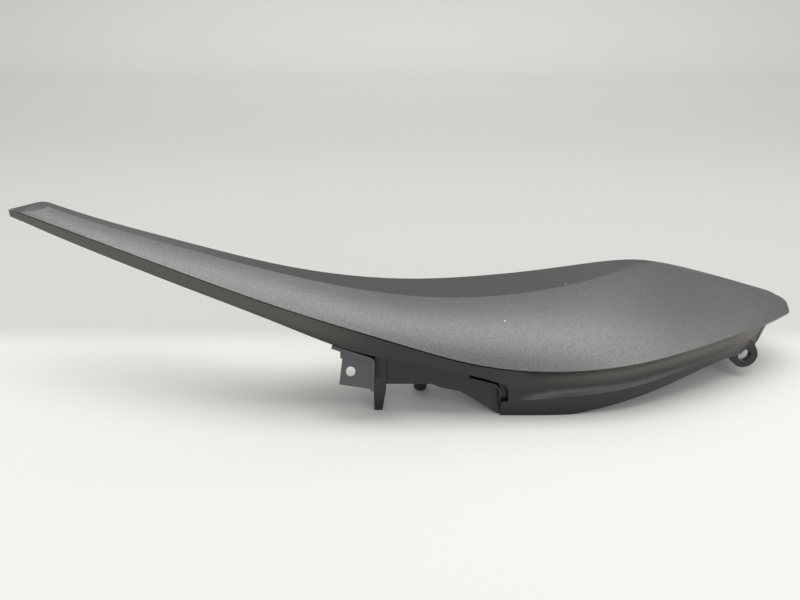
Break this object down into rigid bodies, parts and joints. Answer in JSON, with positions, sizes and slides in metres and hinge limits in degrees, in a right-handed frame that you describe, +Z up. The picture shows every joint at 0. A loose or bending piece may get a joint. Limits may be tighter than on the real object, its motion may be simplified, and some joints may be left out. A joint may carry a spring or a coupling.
{
  "type": "motorcycle side cover",
  "caption": "Black moulded motorcycle side cover: long tapered arm, wide crowned blade, folded skirt, fixing tab, ear and locating pegs",
  "frame": {"origin": "centre of the bounding box in plan, on the bench", "axes": "X along the cover from the arm's tip to the blade's nose; Y from the near edge with the fixing tab to the far edge; Z up, away from the bench, on the side of the outer face"},
  "size_m": [0.4794, 0.1088, 0.1008],
  "materials": {
    "black_plastic": "textured, moulded"
  },
  "bodies": {
    "root": {"side_cover": "black_plastic"}
  },
  "joints": []
}
